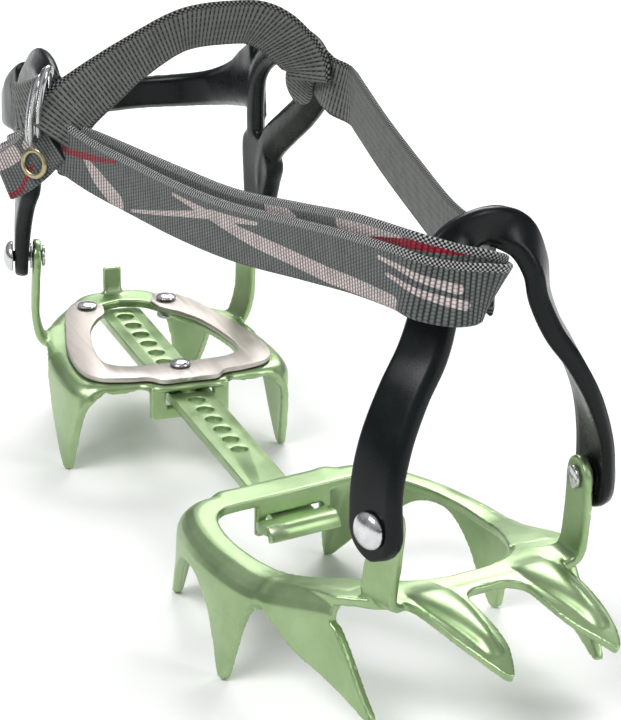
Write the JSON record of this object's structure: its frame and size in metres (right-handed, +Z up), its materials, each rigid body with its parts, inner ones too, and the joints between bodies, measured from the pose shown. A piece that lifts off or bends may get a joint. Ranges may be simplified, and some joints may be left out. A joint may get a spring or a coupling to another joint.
{
  "type": "crampon",
  "caption": "Strap-on mountaineering crampon for one foot: pointed toe and heel frames on a punched length bar, a sprung length latch, two plastic bails and a webbing harness.",
  "frame": {"origin": "on the ground under the middle of the whole crampon, at the tips of the lowest points", "axes": "+X toward the toe along the linking bar, +Y toward the left of the foot, +Z up toward the boot"},
  "size_m": [0.3202, 0.116, 0.1497],
  "materials": {
    "green_metal": "light green anodised metal, satin, with bare bright wear on the point edges",
    "spring_steel": "warm silver rolled spring steel, satin",
    "rivet_steel": "polished domed steel",
    "ring_wire": "bright drawn wire",
    "black_plastic": "moulded flexible black plastic, satin, fine grain",
    "grey_webbing": "ribbed grey and black nylon webbing",
    "printed_webbing": "ribbed grey and black nylon webbing with a woven pattern of plain pale strokes and dark red bars",
    "eyelet_brass": "dull brass eyelet"
  },
  "bodies": {
    "toe_unit": {"toe_frame": "green_metal", "linking_bar": "green_metal", "toe_bail_rivet_right": "rivet_steel", "toe_bail_rivet_left": "rivet_steel", "toe_bail_washer_right": "rivet_steel", "toe_bail_washer_left": "rivet_steel"},
    "heel_unit": {"heel_frame": "green_metal", "spring_rivet_right": "rivet_steel", "spring_rivet_left": "rivet_steel", "heel_bail_rivet_right": "rivet_steel", "heel_bail_rivet_left": "rivet_steel", "heel_bail_washer_right": "rivet_steel", "heel_bail_washer_left": "rivet_steel"},
    "latch": {"spring_plate": "spring_steel", "lock_pin": "rivet_steel"},
    "toe_bail": {"toe_bail": "black_plastic"},
    "heel_bail": {"heel_bail": "black_plastic", "ankle_strap": "grey_webbing", "keeper_tab": "grey_webbing", "buckle_webbing": "grey_webbing", "ring_inner": "ring_wire"},
    "strap_link": {"near_strap": "printed_webbing", "strap_tail": "printed_webbing", "far_strap": "grey_webbing"},
    "strap_rear": {"strap_anchor": "printed_webbing", "eyelet": "eyelet_brass", "ring_outer": "ring_wire"}
  },
  "joints": [
    {"name": "length_adjust", "type": "slide", "parent": "toe_unit", "child": "heel_unit", "axis": [1, 0, 0], "range_m": [-0.04, 0.04]},
    {"name": "latch_flex", "type": "hinge", "parent": "heel_unit", "child": "latch", "pos_m": [-0.12664, -0.00348, 0.03042], "axis": [0, -1, 0], "range_deg": [0, 3], "stiffness_Nm_per_rad": 1.2},
    {"name": "toe_bail_fold", "type": "hinge", "parent": "toe_unit", "child": "toe_bail", "pos_m": [0.11962, 0.01897, 0.06242], "axis": [-0.247, 0.969, 0], "range_deg": [-12, 12]},
    {"name": "heel_bail_fold", "type": "hinge", "parent": "heel_unit", "child": "heel_bail", "pos_m": [-0.11064, -0.00348, 0.05542], "axis": [0, 1, 0], "range_deg": [-13, 13]},
    {"name": "strap_swing", "type": "hinge", "parent": "toe_bail", "child": "strap_link", "pos_m": [0.12295, 0.01157, 0.12742], "axis": [-0.247, 0.969, 0], "range_deg": [-18, 18], "deforming": ["near_strap", "strap_tail", "far_strap"]},
    {"name": "strap_slide", "type": "slide", "parent": "strap_link", "child": "strap_rear", "axis": [1, 0, 0], "range_m": [-0.04, 0.04]}
  ],
  "couplings": [
    {"joint": "heel_bail_fold", "follows": "toe_bail_fold", "ratio": 1.05},
    {"joint": "strap_swing", "follows": "toe_bail_fold", "ratio": -1.5},
    {"joint": "strap_slide", "follows": "length_adjust", "ratio": 1}
  ]
}
